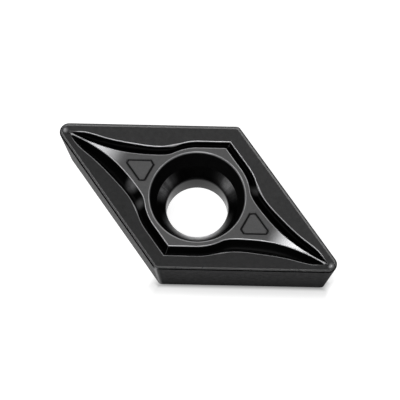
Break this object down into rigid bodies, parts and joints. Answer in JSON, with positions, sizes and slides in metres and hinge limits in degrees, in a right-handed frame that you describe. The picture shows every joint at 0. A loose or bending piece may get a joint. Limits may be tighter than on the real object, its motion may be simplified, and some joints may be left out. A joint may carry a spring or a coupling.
{
  "type": "carbide insert",
  "caption": "Positive rhombic carbide turning insert with a single-sided moulded chipbreaker, stepped screw hole and rounded noses.",
  "frame": {"origin": "screw hole axis at the flat seating face", "axes": "+Z along the hole out of the chipbreaker face, +X along the long diagonal to a nose"},
  "size_m": [0.0192, 0.0106, 0.0041],
  "materials": {
    "coated_carbide": "satin black coating"
  },
  "bodies": {
    "root": {"insert_body": "coated_carbide"}
  },
  "joints": []
}
